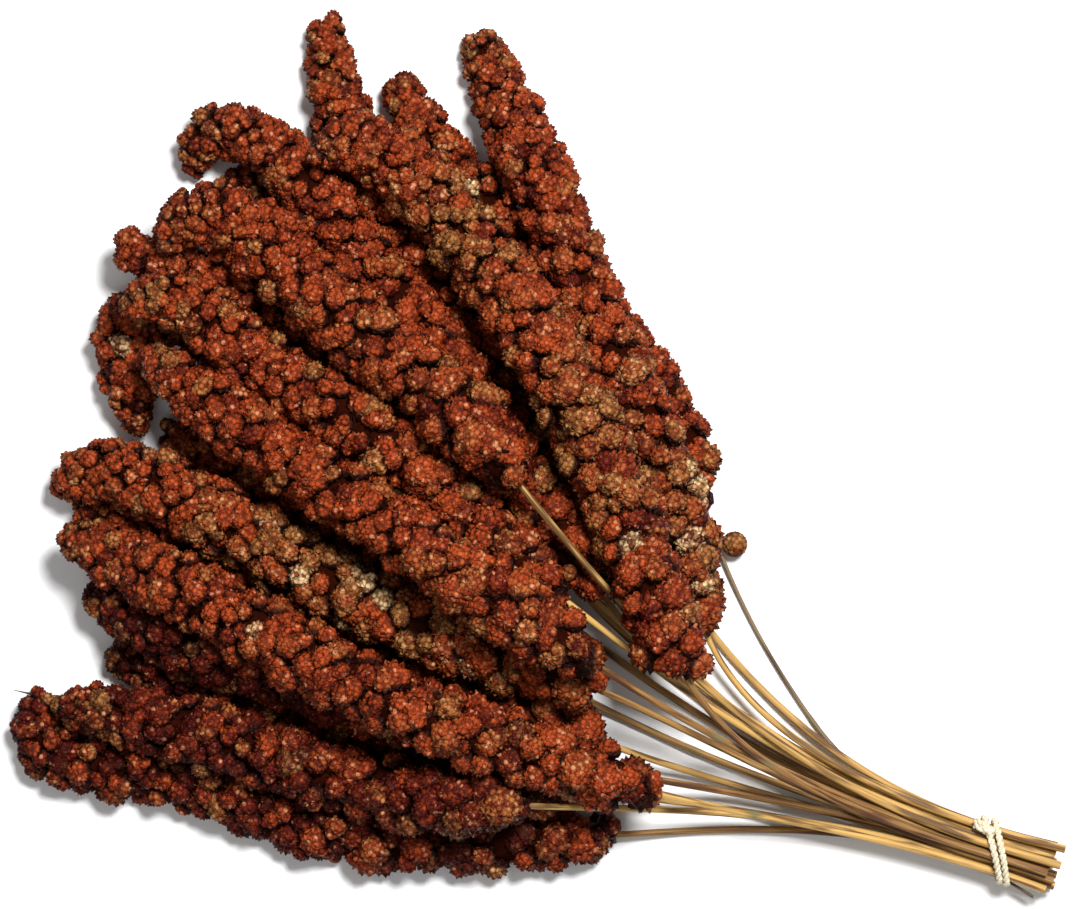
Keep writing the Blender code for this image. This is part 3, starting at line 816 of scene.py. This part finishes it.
# %% Make the straws
STRAW_ROOT = 12  # millimetres of the straw that stand in its head
THIN_AT_HEAD, THIN_AT_TIE = 0.76, 0.96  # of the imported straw's thickness
LEAST_WIDTH = 0.8  # of the straw's width halfway along
JOINT_CHANCE, JOINT_PLACES = 0.6, (0.25, 0.55)
STRAW_TONES = (0.3, 1.0)
THIN_STRAW = "stem_04"
rng = np.random.default_rng(SEED + 100)
for head, stem in zip(HEADS, STEMS):
    inside = courses[head][-STRAW_ROOT:-1].copy()
    inside[:, 3] = courses[stem][2, 3]
    line = np.vstack([inside, courses[stem][1:]])
    line[:, 3] = np.maximum(line[:, 3], courses[stem][len(courses[stem]) // 2, 3] * LEAST_WIDTH)
    line = smooth_line(line[:, :3], line[:, 3], LINE_STEP, 3)
    line[:, 3] *= np.linspace(THIN_AT_HEAD, THIN_AT_TIE, len(line))
    length = (len(line) - 1) * LINE_STEP
    joints = [length * rng.uniform(*JOINT_PLACES)] if rng.uniform() < JOINT_CHANCE else []
    thin = stem == THIN_STRAW
    straw = make_straw(f"{stem}_straw", line, joints, rng.uniform(*STRAW_TONES),
                       grey_straw if thin else golden_straw)
    settle(straw, stem)
straw = make_straw("stray_straw", courses["straw_loose"], [], STRAW_TONES[0], grey_straw)
settle(straw, "straw_loose")

# %% [markdown]
# ## The awn
#
# One head of the near edge keeps a single stiff bristle at its tip. It is a slender cone of eight
# sides, pointed at its end, that stands in the outermost cluster.

# %% Make the awn
AWN_HEAD = "head_01"
AWN_LENGTH = 14 * MM
AWN_TURN = math.radians(283)  # bearing of its point, in the picture, clockwise from its top
AWN_RISE = 0.08
tip = courses[AWN_HEAD][0, :3]
turn = math.pi / 2 + VIEW_TURN - AWN_TURN
way = Vector((math.cos(turn), math.sin(turn), AWN_RISE)).normalized()
deselect_all()
bpy.ops.mesh.primitive_cone_add(vertices=8, radius1=0.8 * MM, radius2=0.15 * MM, depth=AWN_LENGTH)
awn = bpy.context.object
awn.name = "awn"
awn.rotation_euler = way.to_track_quat("Z", "Y").to_euler()
awn.location = Vector(tip) + way * AWN_LENGTH / 2
bpy.ops.object.transform_apply(location=True, rotation=True, scale=True)
awn.data.materials.append(grey_straw)
write_attribute(awn.data, "tone_and_shade", np.full(len(awn.data.vertices), 0.1))
bpy.ops.object.shade_smooth()
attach(awn, "root")

# %% [markdown]
# ## The single cluster on the thin straw
#
# It is the same kind of ball as those on the heads, but it stands alone, so it is made finer.

# %% Make the single cluster
low, high = np.array(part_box("cluster_loose"))
corners, faces, rise = model_cluster(3, 0.12, 0.05, 3)
corners = (low + high) / 2 + corners * (high - low).mean() / 2
single = new_piece("single_cluster", corners, faces, seed_skin)
# Its rise is held at 0.6 or more, so its foot has little painted shade.
for name, values in (("rise", np.maximum(rise, 0.6)), ("tone_and_shade", 0 * rise + 0.2),
                     ("gold", 0 * rise + 0.75), ("pale", 0 * rise)):
    write_attribute(single.data, name, values)
print("single cluster faces", len(single.data.polygons))
settle(single, "cluster_loose")

# %% [markdown]
# ## Twine
#
# Two turns of thin twine hold the straws, side by side and leaning. Rays from the middle of the
# packed tie find the inner side of each packed turn, so the new twine fits the straws as closely.
# Each turn is two strands twisted round each other, drawn as curves with a round section and made
# meshes. A knot of two small loops with two short ends closes it at the upper side.


# %% The finish of twine
def twine_finish():
    paint = Paint("cream twine", Roughness=0.9)
    fibre = paint.noise(0.5 * MM, 3.0)
    skin = paint.mix(paint.between(fibre, 0.3, 0.7), color(178, 160, 126), color(232, 224, 202))
    bump = paint.node("ShaderNodeBump", {}, {"Strength": 0.7, "Distance": 0.3 * MM,
                                             "Height": fibre})
    return paint.finish(Base_Color=skin, Normal=bump)


twine_skin = twine_finish()


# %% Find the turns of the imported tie
TWINE_RADIUS = 1.1 * MM
PACKED_TILTS = (math.radians(12), math.radians(-9))
TWINE_TILTS = (math.radians(-30), math.radians(-27))  # the real turns lean, side by side
TWINE_SHIFTS = (-1.0 * MM, 2.6 * MM)
TURN_POINTS = 96
FIRST_DISTANCE = 8 * MM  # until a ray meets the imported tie
TWINE_LOWEST = 1.5 * MM  # its middle, where it lies on the table
stub = np.mean([courses[stem][-1, :3] - courses[stem][-20, :3] for stem in STEMS], axis=0)
tie_along = np.array([stub[0], stub[1], 0]) / np.linalg.norm(stub[:2])
tie_across = np.array([-tie_along[1], tie_along[0], 0])
tie_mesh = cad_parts["tie"].data
tie_tree = BVHTree.FromPolygons([corner.co for corner in tie_mesh.vertices],
                                [face.vertices[:] for face in tie_mesh.polygons])
straws_middle = np.mean([courses[stem][-25, :3] for stem in STEMS], axis=0)
tie_corners = np.array([corner.co[:] for corner in tie_mesh.vertices])
centre = straws_middle + tie_along * ((tie_corners.mean(axis=0) - straws_middle) @ tie_along)
up = np.array([0, 0, 1.0])


def turn_line(packed_tilt, tilt, shift):
    """The middle of one turn of the twine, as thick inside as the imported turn."""
    points, distance = [], FIRST_DISTANCE
    for number in range(TURN_POINTS):
        angle = number * 2 * math.pi / TURN_POINTS
        way = tie_across * math.cos(angle) + np.array([0, 0, math.sin(angle)])
        ray = way + tie_along * math.tan(packed_tilt) * math.cos(angle)
        ray /= np.linalg.norm(ray)
        distance = tie_tree.ray_cast(Vector(centre), Vector(ray))[3] or distance
        reach = (distance + TWINE_RADIUS) * math.hypot(ray @ tie_across, ray @ up)
        points.append(centre + way * reach
                      + tie_along * (shift + reach * math.cos(angle) * math.tan(tilt)))
    points = np.array(points)
    for _ in range(2):
        points = (points + np.roll(points, 1, axis=0) + np.roll(points, -1, axis=0)) / 3
    points[:, 2] = np.maximum(points[:, 2], TWINE_LOWEST)
    return points


# %% Twist the strands
STRANDS = 2
STRAND_RADIUS = 0.82 * MM
TWIST_LENGTH = 5.5 * MM
NESTED = 0.85  # of a strand's radius, from the twine's middle to the strand's


def strand_object(name, points, radius, closed):
    data = bpy.data.curves.new(name, "CURVE")
    data.dimensions = "3D"
    data.bevel_depth = radius
    data.bevel_resolution = 2
    data.use_fill_caps = not closed
    spline = data.splines.new("POLY")
    spline.points.add(len(points) - 1)
    spline.use_cyclic_u = closed
    for knot, place in zip(spline.points, points):
        knot.co = (*place, 1)
    strand = bpy.data.objects.new(name, data)
    bpy.context.scene.collection.objects.link(strand)
    return strand


def twisted(points, closed):
    """The strands of a twine that follows the points."""
    ahead = np.gradient(points, axis=0)
    if closed:
        ahead = np.roll(points, -1, axis=0) - np.roll(points, 1, axis=0)
    ahead /= np.linalg.norm(ahead, axis=1)[:, None]
    lengths = np.linalg.norm(np.diff(points, axis=0), axis=1)
    along = np.concatenate([[0], np.cumsum(lengths)])
    whole = along[-1] + np.linalg.norm(points[0] - points[-1])
    twists = round(whole / TWIST_LENGTH) if closed else whole / TWIST_LENGTH
    out = np.cross(ahead, tie_along)
    out /= np.linalg.norm(out, axis=1)[:, None]
    other = np.cross(ahead, out)
    strands = []
    for number in range(STRANDS):
        turn = 2 * math.pi * (along / whole * twists + number / STRANDS)
        way = out * np.cos(turn)[:, None] + other * np.sin(turn)[:, None]
        strands.append(strand_object("strand", points + way * STRAND_RADIUS * NESTED,
                                     STRAND_RADIUS, closed))
    return strands


def closed_length(points):
    return np.linalg.norm(points - np.roll(points, 1, axis=0), axis=1).sum()


def resampled(points, count):
    share = np.linspace(0, len(points) - 1, count)
    return np.stack([np.interp(share, np.arange(len(points)), column) for column in points.T], 1)


# %% Make the twine and its knot
strands = []
turns = [turn_line(*values) for values in zip(PACKED_TILTS, TWINE_TILTS, TWINE_SHIFTS)]
for turn in turns:
    strands += twisted(turn, True)
print("lengths of the turns", [round(closed_length(turn) / MM) for turn in turns], "mm")
KNOT_POINT = 13  # of the points of the first turn, counted from the far side
KNOT_LIFT = 0.8 * MM
KNOT_LOOPS = ((0.5, 1.4 * MM), (-0.6, 1.6 * MM))  # turn in the plan, and half width
LOOP_POINTS = 20
LOOP_SHAPE = (1.3, 0.8, 0.35)  # long, high and crossed over, against its half width
LOOP_STRAND = 1.25 * STRAND_RADIUS
knot_place = turns[0][KNOT_POINT] + up * KNOT_LIFT
long, high, crossed = LOOP_SHAPE
for tilt, size in KNOT_LOOPS:
    angles = np.arange(LOOP_POINTS) * 2 * math.pi / LOOP_POINTS
    axis = tie_along * math.cos(tilt) + tie_across * math.sin(tilt)
    ring = [knot_place + (axis * math.cos(angle) * long + up * math.sin(angle) * high) * size
            + np.cross(axis, up) * math.sin(2 * angle) * size * crossed for angle in angles]
    strands.append(strand_object("strand", ring, LOOP_STRAND, True))
# The way of each end from the knot, in millimetres along the bunch and across it
ENDS = (((0, 0), (-2, 1), (-4, 2), (-6.5, 2.5)), ((0, 0), (-2, 0), (-4, 0), (-6, 0.5)))
for end in ENDS:
    path = np.array([knot_place + (tie_along * ahead + tie_across * side) * MM
                     + up * (0.6 - 0.02 * ahead * ahead) * MM for ahead, side in end])
    strands += twisted(resampled(path, 24), False)
deselect_all()
for strand in strands:
    strand.select_set(True)
bpy.context.view_layer.objects.active = strands[0]
bpy.ops.object.convert(target="MESH")
bpy.ops.object.join()
twine = bpy.context.object
twine.name = "twine"
twine.data.materials.clear()
twine.data.materials.append(twine_skin)
bpy.ops.object.shade_smooth()
settle(twine, "tie")
print("twine faces", len(twine.data.polygons))

# %% [markdown]
# ## Table, camera and light
#
# The bunch lies on a pale table and the camera looks straight down on it, turned so that the
# straws run to the lower right. A large soft light stands at the upper right, so the far sides
# of the heads are bright and the gaps between them are deep. A weak one fills from the other side.

# %% The stage
TABLE_SIZE = 6
TABLE_GAP = 0.5 * MM  # between the table and the lowest face
bpy.ops.mesh.primitive_plane_add(size=TABLE_SIZE, location=(0, 0, -TABLE_GAP))
table = bpy.context.object
table.name = "table"
paint = Paint("white table", Roughness=0.9, Base_Color=(0.86, 0.86, 0.86, 1))
table.data.materials.append(paint.material)

PICTURE_WIDTH = 0.4316  # on the plane through picture_middle
LENS, SENSOR = 200, 36
picture_middle = Vector((-0.0376, 0.0368, 0.03))
camera_data = bpy.data.cameras.new("camera")
camera_data.lens, camera_data.sensor_width = LENS, SENSOR
camera = bpy.data.objects.new("camera", camera_data)
bpy.context.scene.collection.objects.link(camera)
camera.location = picture_middle + Vector((0, 0, PICTURE_WIDTH * LENS / SENSOR))
camera.rotation_euler = (0, 0, VIEW_TURN)
bpy.context.scene.camera = camera


def softbox(name, bearing, height, distance, size, power):
    """An area light: bearing in the picture, clockwise from its top, and height above the table."""
    turn = math.pi / 2 + VIEW_TURN - math.radians(bearing)
    rise = math.radians(height)
    way = Vector((math.cos(turn) * math.cos(rise), math.sin(turn) * math.cos(rise), math.sin(rise)))
    data = bpy.data.lights.new(name, "AREA")
    data.shape = "DISK"
    data.size, data.energy = size, power
    light = bpy.data.objects.new(name, data)
    light.location = picture_middle + way * distance
    light.rotation_euler = (-way).to_track_quat("-Z", "Y").to_euler()
    bpy.context.scene.collection.objects.link(light)


softbox("key", bearing=35, height=67, distance=2.2, size=0.6, power=84)
softbox("fill", bearing=215, height=60, distance=2.2, size=1.8, power=8)
SKY_STRENGTH = 0.25
world = bpy.context.scene.world or bpy.data.worlds.new("world")
bpy.context.scene.world = world
world.use_nodes = True
world.node_tree.nodes["Background"].inputs["Color"].default_value = (1, 1, 1, 1)
world.node_tree.nodes["Background"].inputs["Strength"].default_value = SKY_STRENGTH
bpy.context.scene.view_settings.view_transform = "Standard"
print("camera at", tuple(round(value, 3) for value in camera.location))
